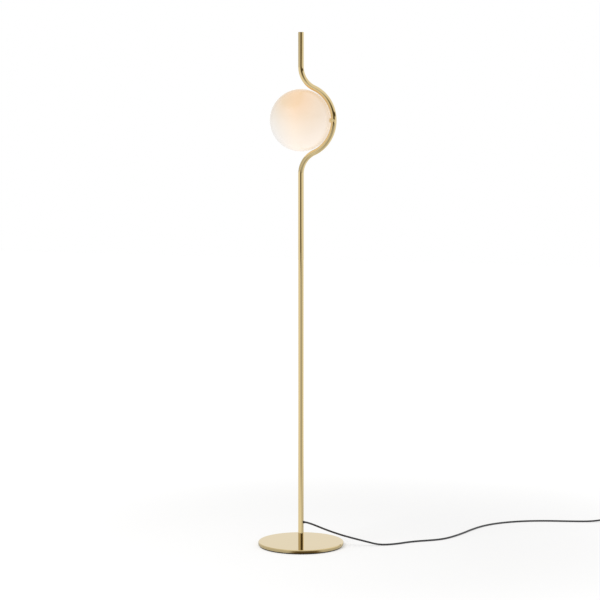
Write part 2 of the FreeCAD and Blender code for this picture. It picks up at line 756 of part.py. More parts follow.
def coil_edges():
    """The coil's line: half turns in, a half turn that climbs a layer, half turns out."""
    at = V(coil_start_x, 0, cord_r)
    heading = X_AXIS
    edges = [Part.makeLine(at, at + heading * cord_d)]
    at = at + heading * cord_d
    side = Y_AXIS
    for i, radius in enumerate(half_turn_radii()):
        if i == coil_half_turns_in:
            climb, at = climbing_half_turn(at, heading, side, radius, coil_pitch)
            edges += climb
        else:
            edges.append(arc_through(at, at + side * radius + heading * radius, at + side * (2 * radius)))
            at = at + side * (2 * radius)
        heading = heading * -1
        side = side * -1
    edges.append(Part.makeLine(at, at + heading * cord_d))
    return edges


def coil_end():
    edge = coil_edges()[-1]
    return edge.valueAt(edge.LastParameter)


def least_self_gap(edges):
    """The least gap between stretches of the line that are more than half a turn apart, on points."""
    points = []
    travelled = 0.0
    for edge in edges:
        steps = max(2, int(edge.Length / cord_r))
        for i in range(steps):
            t = edge.FirstParameter + (edge.LastParameter - edge.FirstParameter) * i / steps
            points.append((travelled + edge.Length * i / steps, edge.valueAt(t)))
        travelled += edge.Length
    apart = math.pi * coil_r / 2
    gaps = [(a[1] - b[1]).Length for n, a in enumerate(points) for b in points[:n] if a[0] - b[0] > apart]
    return min(gaps) - cord_d


def make_cord_coil():
    edges = coil_edges()
    coil = swept(edges, cord_r)
    length = sum(e.Length for e in edges)
    print("coil: %.0f mm long, least gap to itself %.2f mm, volume ratio %.4f"
          % (length, least_self_gap(edges), coil.Volume / (math.pi * cord_r ** 2 * length)))
    return place_with_switch(coil)


def plug_start():
    """Where the cord meets the plug's boot, in the switch's frame."""
    end = coil_end()
    return V(end.x - lead_in_l, end.y, plug_axis_z)


def make_cord_to_plug():
    end = coil_end()
    stop = plug_start()
    points = [in_switch_frame(end.x, end.y, end.z), in_switch_frame(end.x - lead_level_l, end.y, end.z),
              in_switch_frame(stop.x + lead_level_l, stop.y, stop.z), in_switch_frame(stop.x, stop.y, stop.z)]
    return cord_along(points, "cord to the plug")


# ---- foot switch, drawn about its own centre with the cord along X -------------------------------
def stadium(length, width, low_z, high_z):
    """A flat-sided bar with round ends."""
    r = width / 2
    half = length / 2 - r
    edges = [Part.makeLine(V(-half, -r, low_z), V(half, -r, low_z)),
             arc_through(V(half, -r, low_z), V(half + r, 0, low_z), V(half, r, low_z)),
             Part.makeLine(V(half, r, low_z), V(-half, r, low_z)),
             arc_through(V(-half, r, low_z), V(-half - r, 0, low_z), V(-half, -r, low_z))]
    return Part.Face(Part.Wire(edges)).extrude(V(0, 0, high_z - low_z))


def crowned(length, width, low_z, high_z, radius):
    """The same bar with its top edge rounded over."""
    bar = stadium(length, width, low_z, high_z)
    top = [e for e in bar.Edges if abs(e.BoundBox.ZMin - high_z) < close]
    return bar.makeFillet(radius, top)


def boot_holes():
    z = switch_split_z
    return rod(boot_neck_d / 2 + seat, V(-switch_l, 0, z), V(switch_l, 0, z))


def make_switch_lower_shell():
    shell = stadium(switch_l, switch_w, foot_t, switch_split_z)
    under = [e for e in shell.Edges if abs(e.BoundBox.ZMax - foot_t) < close]
    shell = shell.makeFillet(switch_under_round, under)
    inside = stadium(inside_l, inside_w, foot_t + switch_wall, switch_split_z)
    shell = shell.cut(inside)
    for y in (-screw_y, screw_y):
        boss = rod(screw_post_d / 2, V(0, y, foot_t + switch_wall / 2), V(0, y, switch_split_z))
        shell = shell.fuse(boss.common(stadium(switch_l, switch_w, foot_t, switch_split_z)))
        shell = shell.cut(rod(screw_d / 2 + 2 * seat, V(0, y, 0), V(0, y, switch_split_z)))
        shell = shell.cut(rod(screw_head_d / 2 + air, V(0, y, 0), V(0, y, foot_t + screw_head_t + air)))
    return shell.cut(boot_holes()).removeSplitter()


def make_switch_upper_shell():
    shell = crowned(switch_l, switch_w, switch_split_z, switch_h, switch_crown_r)
    inside = crowned(inside_l, inside_w, switch_split_z, switch_h - switch_wall, switch_crown_r - switch_wall)
    outline = shell.copy()
    shell = shell.cut(inside)
    for y in (-screw_y, screw_y):
        foot = V(0, y, switch_split_z)
        post = rod(screw_post_d / 2, foot, V(0, y, switch_h - switch_wall / 2)).common(outline)
        post = post.cut(rod(screw_d / 2 + seat, foot, foot + V(0, 0, screw_hole_l)))
        shell = shell.fuse(post)
    shell = shell.cut(rod(button_d / 2 + air, V(0, 0, flange_low_z), V(0, 0, switch_h + bite)))
    shell = shell.cut(rod(button_flange_d / 2 + air, V(0, 0, switch_split_z), V(0, 0, switch_h - switch_wall)))
    return shell.cut(boot_holes()).removeSplitter()


def make_switch_button():
    body = rod(button_d / 2, V(0, 0, flange_low_z), V(0, 0, button_top_z))
    body = body.makeFillet(button_round, rim_edges(body, button_top_z, button_d / 2))
    flange = rod(button_flange_d / 2, V(0, 0, flange_low_z), V(0, 0, flange_top_z))
    button = body.fuse(flange)
    hollow = rod(button_d / 2 - button_wall, V(0, 0, flange_low_z), V(0, 0, hollow_top_z))
    return button.cut(hollow).removeSplitter()


def make_switch_bridge():
    """Moving contact bar on the post under the button."""
    half = contact_x + bridge_end
    bar = Part.makeBox(2 * half, bridge_w, bridge_t, V(-half, -bridge_w / 2, bridge_z))
    post = rod(bridge_post_d / 2, V(0, 0, bridge_z), V(0, 0, hollow_top_z))
    return bar.fuse(post).removeSplitter()


def make_switch_spring():
    """Return spring between the block's well and the bridge, drawn at rest."""
    low_z = block_top_z - spring_well_depth + air + spring_wire_d / 2
    high_z = bridge_z - air - spring_wire_d / 2
    at = V(spring_d / 2, 0, low_z)
    heading = Y_AXIS
    side = V(-1, 0, 0)
    edges = []
    for i in range(2 * spring_turns):
        climb, at = climbing_half_turn(at, heading, side, spring_d / 2, (high_z - low_z) / (2 * spring_turns))
        edges += climb
        heading = heading * -1
        side = side * -1
    return swept(edges, spring_wire_d / 2)


def make_switch_block():
    """Insulating block that carries the fixed contacts and holds the spring in a well."""
    floor_z = foot_t + switch_wall
    block = Part.makeBox(block_l, block_w, block_top_z - floor_z, V(-block_l / 2, -block_w / 2, floor_z))
    well_r = (spring_d + spring_wire_d) / 2 + air
    return block.cut(rod(well_r, V(0, 0, block_top_z - spring_well_depth), V(0, 0, block_top_z)))


def make_switch_contacts():
    """Two fixed contacts with their terminals on the block."""
    pieces = []
    for side in (-1, 1):
        middle_x = side * (contact_x + contact_plate_shift)
        plate = Part.makeBox(contact_plate_l, contact_plate_w, contact_plate_t,
                             V(middle_x - contact_plate_l / 2, -contact_plate_w / 2, block_top_z))
        foot = V(side * contact_x, 0, block_top_z)
        tip = rod(contact_d / 2, foot, foot + V(0, 0, contact_h))
        pieces.append(plate.fuse(tip).removeSplitter())
    return Part.makeCompound(pieces)


def make_switch_clamps():
    """Two bars that hold the cord's sheath down."""
    pieces = []
    for x in (-clamp_x, clamp_x):
        low_z = foot_t + switch_wall
        high_z = switch_split_z + cord_r + clamp_over
        bar = Part.makeBox(clamp_l, clamp_w, high_z - low_z, V(x - clamp_l / 2, -clamp_w / 2, low_z))
        bar = bar.cut(rod(cord_r + seat, V(x - clamp_l, 0, switch_split_z), V(x + clamp_l, 0, switch_split_z)))
        pieces.append(bar)
    return Part.makeCompound(pieces)


def make_switch_leads():
    """The cord's ends inside the boots and the switch, and the cores to the contacts."""
    pieces = []
    z = switch_split_z
    for side in (-1, 1):
        sheath = rod(cord_r, V(side * (clamp_x - clamp_l), 0, z), V(side * boot_end_x, 0, z))
        core = rod(core_d / 2, V(side * (block_l / 2 + air), 0, z), V(side * (clamp_x - clamp_l), 0, z))
        pieces.append(sheath.fuse(core).removeSplitter())
    return Part.makeCompound(pieces)


def make_switch_screws():
    pieces = []
    for y in (-screw_y, screw_y):
        head = rod(screw_head_d / 2, V(0, y, foot_t + air), V(0, y, foot_t + air + screw_head_t))
        shank = rod(screw_d / 2, V(0, y, foot_t + air + screw_head_t), V(0, y, switch_split_z + screw_grip))
        pieces.append(head.fuse(shank).removeSplitter())
    return Part.makeCompound(pieces)


def make_switch_feet():
    places = [(x, y) for x in (-foot_x, foot_x) for y in (-foot_y, foot_y)]
    return Part.makeCompound([rod(foot_d / 2, V(x, y, 0), V(x, y, foot_t)) for x, y in places])


def make_boot(side):
    """Tapered rubber strain relief at one end of the switch, buttoned through the shells' end wall."""
    z = switch_split_z
    wall_x = switch_l / 2
    end_r = switch_w / 2 - switch_wall
    flange_x = wall_x - switch_w / 2 + math.sqrt(end_r ** 2 - (boot_flange_d / 2) ** 2) - air
    cone = Part.makeCone(boot_d / 2, boot_tip_d / 2, boot_l - air, V(wall_x + air, 0, z), X_AXIS)
    neck = rod(boot_neck_d / 2, V(flange_x, 0, z), V(wall_x + bite, 0, z))
    flange = rod(boot_flange_d / 2, V(flange_x - boot_flange_t, 0, z), V(flange_x, 0, z))
    boot = cone.fuse(neck).fuse(flange)
    boot = boot.cut(rod(cord_r + seat, V(0, 0, z), V(2 * boot_end_x, 0, z))).removeSplitter()
    if side < 0:
        boot.rotate(V(0, 0, 0), Z_AXIS, 180)
    return boot


# ---- plug, drawn with its pins along -X ----------------------------------------------------------
def rounded_section(x, width, thickness, corner):
    """A rounded rectangle across the plug's axis."""
    w = width / 2 - corner
    t = thickness / 2 - corner
    d = corner * math.sqrt(0.5)
    r = corner
    edges = [Part.makeLine(V(x, -w, -t - r), V(x, w, -t - r)),
             arc_through(V(x, w, -t - r), V(x, w + d, -t - d), V(x, w + r, -t)),
             Part.makeLine(V(x, w + r, -t), V(x, w + r, t)),
             arc_through(V(x, w + r, t), V(x, w + d, t + d), V(x, w, t + r)),
             Part.makeLine(V(x, w, t + r), V(x, -w, t + r)),
             arc_through(V(x, -w, t + r), V(x, -w - d, t + d), V(x, -w - r, t)),
             Part.makeLine(V(x, -w - r, t), V(x, -w - r, -t)),
             arc_through(V(x, -w - r, -t), V(x, -w - d, -t - d), V(x, -w, -t - r))]
    return Part.Wire(edges)


def make_plug_body():
    """Flat two-pin plug moulded in one with its tapered boot."""
    face_x = -plug_l
    root = rounded_section(0, plug_neck_w, plug_neck_t, plug_corner)
    shoulder = rounded_section(-plug_shoulder_l, plug_w, plug_t, plug_corner)
    face = rounded_section(face_x, plug_w, plug_t, plug_corner)
    back = Part.makeLoft([root, shoulder], True, True)
    front = Part.makeLoft([shoulder, face], True, True)
    root_r = plug_neck_t / 2 - plug_boot_step
    boot = Part.makeCone(root_r, plug_boot_tip_d / 2, plug_boot_l, V(0, 0, 0), X_AXIS)
    body = back.fuse(front).fuse(boot)
    for y in (-pin_gap / 2, pin_gap / 2):
        body = body.cut(rod(pin_d / 2 + seat, V(face_x, y, 0), V(face_x + pin_root_l, y, 0)))
    return body.removeSplitter()


def make_plug_pins():
    pieces = []
    for y in (-pin_gap / 2, pin_gap / 2):
        end = V(-plug_l - pin_l, y, 0)
        pin = rod(pin_d / 2, end, V(-plug_l + pin_root_l, y, 0))
        tip = [e for e in pin.Edges if abs(e.BoundBox.XMax - end.x) < close]
        pieces.append(pin.makeFillet(pin_tip_round, tip))
    return Part.makeCompound(pieces)


def place_plug(shape):
    start = plug_start()
    shape.translate(V(start.x - plug_boot_l, start.y, plug_axis_z))
    return place_with_switch(shape)


# ---- every piece ---------------------------------------------------------------------------------
def main():
    os.makedirs("parts", exist_ok=True)
    export("base_pad", make_base_pad())
    export("base_plate", make_base_plate())
    export("base_washer", make_base_washer())
    export("base_bolt", make_base_bolt())
    export("stem_insert", make_stem_insert())
    export("stem_tube", make_stem_tube())
    export("tube_end_cap", make_tube_end_cap())
    export("cord_grommet", make_cord_grommet())
    export("inner_lead", make_inner_lead())
    export("seat_plug", make_seat_plug())
    export("seat_screw", make_seat_screw())
    export("seat_nipple", make_seat_nipple())
    export("seat_saddle", make_seat_saddle())
    export("globe_carrier", make_globe_carrier())
    export("carrier_nut", make_carrier_nut())
    export("globe_ring", make_globe_ring())
    export("globe_glass", make_globe_glass())
    export("holder_dome", make_holder_dome())
    export("holder_body", make_holder_body())
    export("holder_shell", make_holder_shell())
    export("holder_contact", make_holder_contact())
    export("bulb_cap", make_bulb_cap())
    export("bulb_tip", make_bulb_tip())
    export("bulb_skirt", make_bulb_skirt())
    export("bulb_board", make_bulb_board())
    export("bulb_diffuser", make_bulb_diffuser())
    export("cord_to_switch", make_cord_to_switch())
    export("cord_to_coil", make_cord_to_coil())
    export("cord_coil", make_cord_coil())
    export("cord_to_plug", make_cord_to_plug())
    export("switch_lower_shell", place_with_switch(make_switch_lower_shell()))
    export("switch_upper_shell", place_with_switch(make_switch_upper_shell()))
    export("switch_button", place_with_switch(make_switch_button()))
    export("switch_bridge", place_with_switch(make_switch_bridge()))
    export("switch_spring", place_with_switch(make_switch_spring()))
    export("switch_block", place_with_switch(make_switch_block()))
    export("switch_contacts", place_with_switch(make_switch_contacts()))
    export("switch_clamps", place_with_switch(make_switch_clamps()))
    export("switch_leads", place_with_switch(make_switch_leads()))
    export("switch_screws", place_with_switch(make_switch_screws()))
    export("switch_feet", place_with_switch(make_switch_feet()))
    export("switch_inlet_boot", place_with_switch(make_boot(-1)))
    export("switch_outlet_boot", place_with_switch(make_boot(1)))
    export("plug_body", place_plug(make_plug_body()))
    export("plug_pins", place_plug(make_plug_pins()))


main()
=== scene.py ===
import bpy
import json
import math
from mathutils import Matrix, Vector


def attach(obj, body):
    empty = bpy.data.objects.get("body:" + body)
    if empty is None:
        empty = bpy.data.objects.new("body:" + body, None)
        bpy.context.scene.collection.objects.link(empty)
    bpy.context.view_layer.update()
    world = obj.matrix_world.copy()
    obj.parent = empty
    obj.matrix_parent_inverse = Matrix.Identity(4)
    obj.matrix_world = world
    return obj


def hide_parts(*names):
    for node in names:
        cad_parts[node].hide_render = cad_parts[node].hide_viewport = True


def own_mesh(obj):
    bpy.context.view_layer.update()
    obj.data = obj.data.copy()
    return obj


# Globe floor lamp. Metres, +Z up, the same frame as the solids: the origin is on the floor under the
# stem, and the stem's arc bulges towards +X round the globe.

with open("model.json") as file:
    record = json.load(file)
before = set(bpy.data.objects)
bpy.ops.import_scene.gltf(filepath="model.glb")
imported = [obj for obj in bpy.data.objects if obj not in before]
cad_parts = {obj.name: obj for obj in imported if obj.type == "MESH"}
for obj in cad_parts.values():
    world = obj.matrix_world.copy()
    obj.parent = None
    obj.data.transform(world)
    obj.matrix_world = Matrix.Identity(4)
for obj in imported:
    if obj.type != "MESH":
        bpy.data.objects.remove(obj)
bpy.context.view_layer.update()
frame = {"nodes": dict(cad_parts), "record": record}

X_AXIS = Vector((1, 0, 0))
Y_AXIS = Vector((0, 1, 0))
Z_AXIS = Vector((0, 0, 1))

# ---- sizes, as in the solids -------------------------------------------------------------------------
base_z = 0.0040
base_top_z = 0.0140
base_r = 0.140
base_top_round = 0.0030
base_under_round = 0.0008
recess_z = 0.0100
recess_r = 0.0135
bolt_hole_r = 0.0053
globe_z = 1.3885
globe_r = 0.100
glass_t = 0.0025
glass_hole_r = 0.030
tube_r = 0.009
tube_wall = 0.0015
arc_r = 0.1125
bend_r = 0.075
stem_top_z = 1.670
end_cap_t = 0.0015
end_cap_round = 0.0003
end_cap_plug_h = 0.008
end_cap_plug_round = 0.0005
exit_x = 0.0135
exit_z = 0.0776
grommet_r = 0.0045
grommet_tip_r = 0.0036
grommet_tip_round = 0.0003
grommet_neck_r = 0.00375
screw_head_r = 0.0048
screw_head_t = 0.0018
screw_head_round = 0.0008
cord_d = 0.006
cord_r = cord_d / 2
fit_gap = 0.00005
eased_edge = 0.0003
eased_pad_edge = 0.0005

# ---- camera ------------------------------------------------------------------------------------------
camera_azimuth = math.radians(21.0)
camera_distance = 6.3141
camera_height = 1.4
camera_aside = -0.00307
camera_tilt = math.radians(5.3544)
camera_lens = 117.32
camera_sensor = 36.0
towards_camera = Vector((math.sin(camera_azimuth), -math.cos(camera_azimuth), 0))
camera_right = Vector((math.cos(camera_azimuth), math.sin(camera_azimuth), 0))


def place_camera():
    data = bpy.data.cameras.new("camera")
    data.lens = camera_lens
    data.sensor_width = camera_sensor
    camera = bpy.data.objects.new("camera", data)
    bpy.context.scene.collection.objects.link(camera)
    camera.location = towards_camera * camera_distance + camera_right * camera_aside + Z_AXIS * camera_height
    camera.rotation_euler = (math.pi / 2 - camera_tilt, 0, camera_azimuth)
    bpy.context.scene.camera = camera


# ---- free cord ---------------------------------------------------------------------------------------
switch_at = Vector((0.9217, 0.7927, 0))
switch_turn = Matrix.Rotation(math.radians(45.0), 3, "Z")
switch_cord_z = 0.010
boot_end_x = 0.059
lead_in_l = 0.044
lead_level_l = 0.012
coil_r = 0.04075
coil_pitch = 0.0065
coil_half_turns_in = 5
coil_end_y = 2 * coil_r + coil_pitch
points_per_half_turn = 8
plug_axis_z = 0.007
plug_l = 0.036
plug_w = 0.0353
plug_t = 0.0137
plug_corner = 0.0045
plug_boot_l = 0.024

# From the bush down to the floor, over the floor, and up into the foot switch.
cord_points = [
    (exit_x, 0, exit_z), (0.0175, 0, exit_z), (0.0255, 0.0003, 0.0762), (0.036, 0.0013, 0.0735),
    (0.051, 0.005, 0.0680), (0.081, 0.0155, 0.0550), (0.121, 0.031, 0.0396), (0.161, 0.048, 0.0268),
    (0.200, 0.0665, 0.0152), (0.2345, 0.0805, 0.0052), (0.259, 0.0925, cord_r), (0.291, 0.119, cord_r),
    (0.329, 0.174, cord_r), (0.397, 0.225, cord_r), (0.425, 0.270, cord_r), (0.447, 0.353, cord_r),
    (0.460, 0.431, cord_r), (0.481, 0.504, cord_r), (0.522, 0.567, cord_r), (0.583, 0.620, cord_r),
    (0.656, 0.655, cord_r), (0.736, 0.676, cord_r), (0.813, 0.702, cord_r),
    (0.8623, 0.7333, switch_cord_z), (0.8800, 0.7510, switch_cord_z)]


def in_switch_frame(x, y, z):
    """A point given from the switch's centre, along and across the cord's heading."""
    return switch_at + switch_turn @ Vector((x, y, z))


def coil_points(start_x):
    """Flat spiral in, one half turn that climbs a layer, and a spiral out on top of it."""
    shrink = coil_pitch / 2
    steps_in = list(range(coil_half_turns_in))
    radii = [coil_r - shrink * i for i in steps_in + [coil_half_turns_in] + steps_in[::-1]]
    points = []
    y = 0.0
    z = cord_r
    for i, radius in enumerate(radii):
        side = 1 if i % 2 == 0 else -1
        rise = coil_pitch if i == coil_half_turns_in else 0.0
        for step in range(points_per_half_turn):
            share = (step + 0.5) / points_per_half_turn
            angle = math.pi * share
            points.append((start_x + side * radius * math.sin(angle),
                           y + side * radius * (1 - math.cos(angle)), z + rise * share))
        y += side * 2 * radius
        z += rise
    return points, y, z


def coiled_lead_points():
    """From the switch to the coil, round it, and back to the plug."""
    coil_x = boot_end_x + lead_in_l
    turns, end_y, end_z = coil_points(coil_x + cord_d)
    before = [(boot_end_x, 0, switch_cord_z), (boot_end_x + lead_level_l, 0, switch_cord_z),
              (coil_x - lead_level_l, 0, cord_r), (coil_x, 0, cord_r)]
    after = [(coil_x, end_y, end_z), (coil_x - lead_level_l, end_y, end_z),
             (boot_end_x + lead_level_l, end_y, plug_axis_z), (boot_end_x, end_y, plug_axis_z)]
    return [in_switch_frame(*p) for p in before + turns + after]


def cord_piece(name, points):
    """A round cord of one NURBS line, which starts at the first point and ends at the last."""
    data = bpy.data.curves.new(name, "CURVE")
    data.dimensions = "3D"
    data.bevel_depth = cord_r
    data.bevel_resolution = 5
    data.resolution_u = 8
    data.use_fill_caps = True
    line = data.splines.new("NURBS")
    line.points.add(len(points) - 1)
    for point, place in zip(line.points, points):
        point.co = (*place, 1.0)
    line.order_u = 3
    line.use_endpoint_u = True
    cord = bpy.data.objects.new(name, data)
    bpy.context.scene.collection.objects.link(cord)
    return cord


# ---- modelling ---------------------------------------------------------------------------------------
def select_nothing():
    bpy.ops.object.select_all(action="DESELECT")


def select_only(piece):
    select_nothing()
    piece.select_set(True)
    bpy.context.view_layer.objects.active = piece


def begin_edit():
    bpy.ops.object.transform_apply(location=True, rotation=True, scale=True)
    bpy.ops.object.mode_set(mode="EDIT")
    bpy.ops.mesh.select_mode(type="VERT")
    bpy.ops.mesh.select_all(action="SELECT")


def end_edit():
    bpy.ops.object.mode_set(mode="OBJECT")


def add_modifier(piece, kind, **settings):
    """Adds a modifier, sets it and applies it."""
    modifier = piece.modifiers.new(kind.lower(), kind)
    for key, value in settings.items():
        setattr(modifier, key, value)
    bpy.context.view_layer.objects.active = piece
    bpy.ops.object.modifier_apply(modifier=modifier.name)


def smooth(piece, degrees=32):
    """Smooth shading up to an angle, with flat faces kept flat."""
    select_only(piece)
    bpy.ops.object.shade_smooth_by_angle(angle=math.radians(degrees))
    add_modifier(piece, "WEIGHTED_NORMAL", keep_sharp=True)


def filleted(profile, points_per_corner):
    """Corners (along, radius, fillet) of a closed outline, with an arc in each corner that has a fillet."""
    outline = []
    count = len(profile)
    for i, (along, radius, fillet) in enumerate(profile):
        corner = Vector((along, radius))
        if fillet == 0:
            outline.append(corner)
            continue
        back = (Vector(profile[i - 1][:2]) - corner).normalized()
        ahead = (Vector(profile[(i + 1) % count][:2]) - corner).normalized()
        half = back.angle(ahead) / 2
        centre = corner + (back + ahead).normalized() * (fillet / math.sin(half))
        first = corner + back * (fillet / math.tan(half)) - centre
        last = corner + ahead * (fillet / math.tan(half)) - centre
        turn = first.angle_signed(last)
        for step in range(points_per_corner + 1):
            spin = Matrix.Rotation(-turn * step / points_per_corner, 2)
            outline.append(centre + spin @ first)
    return outline


def turned(name, origin, axis, outline, steps):
    """A closed outline of (along, radius) points spun round an axis through the origin given."""
    merge_within = 0.000002
    radial = X_AXIS if abs(axis.z) > 0.5 else Z_AXIS
    places = [origin + axis * p[0] + radial * p[1] for p in outline]
    select_nothing()
    bpy.ops.mesh.primitive_plane_add(size=0.001, location=places[0])
    piece = bpy.context.object
    piece.name = piece.data.name = name
    begin_edit()
    bpy.ops.mesh.merge(type="CENTER")
    for here, there in zip(places, places[1:] + places[:1]):
        bpy.ops.mesh.extrude_region_move(TRANSFORM_OT_translate={"value": there - here})
    bpy.ops.mesh.select_all(action="SELECT")
    bpy.ops.mesh.remove_doubles(threshold=merge_within)
    bpy.ops.mesh.spin(steps=steps, angle=2 * math.pi, center=origin, axis=axis)
    bpy.ops.mesh.select_all(action="SELECT")
    bpy.ops.mesh.remove_doubles(threshold=merge_within)
    bpy.ops.mesh.normals_make_consistent(inside=False)
    end_edit()
    return piece


def dress(piece, body, slot, material, *nodes):
    """Rides a piece on its body, gives it its finish and lets it stand for its nodes."""
    piece.data.materials.clear()
    piece.data.materials.append(material)
    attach(piece, body)
    if nodes:
        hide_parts(*nodes)
    return piece


# ---- shader parts ------------------------------------------------------------------------------------
def new_group(name, inputs, outputs):
    group = bpy.data.node_groups.new(name, "ShaderNodeTree")
    for label, kind, value in inputs:
        socket = group.interface.new_socket(name=label, in_out="INPUT", socket_type=kind)
        socket.default_value = value
    for label, kind in outputs:
        group.interface.new_socket(name=label, in_out="OUTPUT", socket_type=kind)
    return group, group.nodes.new("NodeGroupInput"), group.nodes.new("NodeGroupOutput")


def make_grain_group():
    """Fine grain: two tones, a roughness that wanders between two values, and a small bump."""
    mid_grey = (0.5, 0.5, 0.5, 1)
    patch_scale = 28.0
    bump_depth = 0.00006
    group, given, made = new_group(
        "fine grain",
        [("Tone", "NodeSocketColor", mid_grey), ("Other Tone", "NodeSocketColor", mid_grey),
         ("Scale", "NodeSocketFloat", 400.0), ("Smooth", "NodeSocketFloat", 0.3),
         ("Rough", "NodeSocketFloat", 0.4), ("Height", "NodeSocketFloat", 0.2)],
        [("Color", "NodeSocketColor"), ("Roughness", "NodeSocketFloat"), ("Normal", "NodeSocketVector")])
    nodes, links = group.nodes, group.links
    place = nodes.new("ShaderNodeTexCoord")
    grain = nodes.new("ShaderNodeTexNoise")
    grain.inputs["Detail"].default_value = 3.0
    patches = nodes.new("ShaderNodeTexNoise")
    patches.inputs["Scale"].default_value = patch_scale
    patches.inputs["Detail"].default_value = 4.0
    tones = nodes.new("ShaderNodeMix")
    tones.data_type = "RGBA"
    wander = nodes.new("ShaderNodeMapRange")
    wander.inputs["From Min"].default_value = 0.3
    wander.inputs["From Max"].default_value = 0.7
    bump = nodes.new("ShaderNodeBump")
    bump.inputs["Distance"].default_value = bump_depth
    links.new(place.outputs["Object"], grain.inputs["Vector"])
    links.new(place.outputs["Object"], patches.inputs["Vector"])
    links.new(given.outputs["Scale"], grain.inputs["Scale"])
    links.new(patches.outputs["Fac"], tones.inputs["Factor"])
    links.new(given.outputs["Tone"], tones.inputs["A"])
    links.new(given.outputs["Other Tone"], tones.inputs["B"])
    links.new(patches.outputs["Fac"], wander.inputs["Value"])
    links.new(given.outputs["Smooth"], wander.inputs["To Min"])
    links.new(given.outputs["Rough"], wander.inputs["To Max"])
    links.new(grain.outputs["Fac"], bump.inputs["Height"])
    links.new(given.outputs["Height"], bump.inputs["Strength"])
    links.new(tones.outputs["Result"], made.inputs["Color"])
    links.new(wander.outputs["Result"], made.inputs["Roughness"])
    links.new(bump.outputs["Normal"], made.inputs["Normal"])
    return group


def blank_material(name):
    material = bpy.data.materials.new(name)
    material.use_nodes = True
    tree = material.node_tree
    tree.nodes.clear()
    shader = tree.nodes.new("ShaderNodeBsdfPrincipled")
    output = tree.nodes.new("ShaderNodeOutputMaterial")
    tree.links.new(shader.outputs["BSDF"], output.inputs["Surface"])
    return material, shader


grain_group = make_grain_group()


def grained(name, tone, other, scale, rough, height, metallic=0.0):
    """A material whose colour, roughness and bump come from the fine grain. The roughness wanders
    between the two values given."""
    material, shader = blank_material(name)
    tree = material.node_tree
    grain = tree.nodes.new("ShaderNodeGroup")
    grain.node_tree = grain_group
    for label, value in (("Tone", (*tone, 1)), ("Other Tone", (*other, 1)), ("Scale", scale),
                         ("Smooth", rough[0]), ("Rough", rough[1]), ("Height", height)):
        grain.inputs[label].default_value = value
    tree.links.new(grain.outputs["Color"], shader.inputs["Base Color"])
    tree.links.new(grain.outputs["Roughness"], shader.inputs["Roughness"])
    tree.links.new(grain.outputs["Normal"], shader.inputs["Normal"])
    shader.inputs["Metallic"].default_value = metallic
    return material


def make_glow_and_painted_light_group():
    """The lit bulb's glow through the opal wall, as seen from the front: peach high up a little to the
    left, paler all round it, and weaker and cooler towards the left limb, a painted shade that offsets the
    key light falling there. In globe radii from its centre."""
    peach_at = (-0.30, 0, 0.75)
    palest_from_peach = 1.7
    stops = [(0.0, (0.535, 0.295, 0.085)), (0.18, (0.55, 0.315, 0.10)), (0.26, (0.58, 0.36, 0.17)),
             (0.47, (0.60, 0.435, 0.28)), (0.65, (0.605, 0.475, 0.345)), (0.82, (0.61, 0.50, 0.395)),
             (1.0, (0.61, 0.515, 0.42))]
    # Painted shade: the glow is made weaker and cooler towards the left limb, where the key light falls.
    left_limb_x = -0.85
    full_glow_x = -0.20
    painted_left_limb_shade = (0.70, 0.82, 1.0, 1)
    no_tint = (1, 1, 1, 1)
    group, _, made = new_group("inner glow and painted light", [], [("Color", "NodeSocketColor")])
    nodes, links = group.nodes, group.links
    place = nodes.new("ShaderNodeTexCoord")
    centred = nodes.new("ShaderNodeMapping")
    centred.vector_type = "TEXTURE"
    centred.inputs["Location"].default_value = (0, 0, globe_z)
    centred.inputs["Rotation"].default_value = (0, 0, camera_azimuth)
    centred.inputs["Scale"].default_value = (globe_r, globe_r, globe_r)
    flat = nodes.new("ShaderNodeVectorMath")
    flat.operation = "MULTIPLY"
    flat.inputs[1].default_value = (1, 0, 1)
    away = nodes.new("ShaderNodeVectorMath")
    away.operation = "DISTANCE"
    away.inputs[1].default_value = peach_at
    reach = nodes.new("ShaderNodeMapRange")
    reach.inputs["From Max"].default_value = palest_from_peach
    glow = nodes.new("ShaderNodeValToRGB")
    ramp = glow.color_ramp.elements
    for element, (position, colour) in zip((ramp[0], ramp[1]), (stops[0], stops[-1])):
        element.position = position
        element.color = (*colour, 1)
    for position, colour in stops[1:-1]:
        ramp.new(position).color = (*colour, 1)
    split = nodes.new("ShaderNodeSeparateXYZ")
    across = nodes.new("ShaderNodeMapRange")
    across.inputs["From Min"].default_value = left_limb_x
    across.inputs["From Max"].default_value = full_glow_x
    side = nodes.new("ShaderNodeMix")
    side.data_type = "RGBA"
    side.inputs["A"].default_value = painted_left_limb_shade
    side.inputs["B"].default_value = no_tint
    shaded = nodes.new("ShaderNodeVectorMath")
    shaded.operation = "MULTIPLY"
    links.new(place.outputs["Object"], centred.inputs["Vector"])
    links.new(centred.outputs["Vector"], flat.inputs[0])
    links.new(flat.outputs["Vector"], away.inputs[0])
    links.new(away.outputs["Value"], reach.inputs["Value"])
    links.new(reach.outputs["Result"], glow.inputs["Fac"])
    links.new(centred.outputs["Vector"], split.inputs["Vector"])
    links.new(split.outputs["X"], across.inputs["Value"])
    links.new(across.outputs["Result"], side.inputs["Factor"])
    links.new(glow.outputs["Color"], shaded.inputs[0])
    links.new(side.outputs["Result"], shaded.inputs[1])
    links.new(shaded.outputs["Vector"], made.inputs["Color"])
    return group


glow_and_painted_light_group = make_glow_and_painted_light_group()


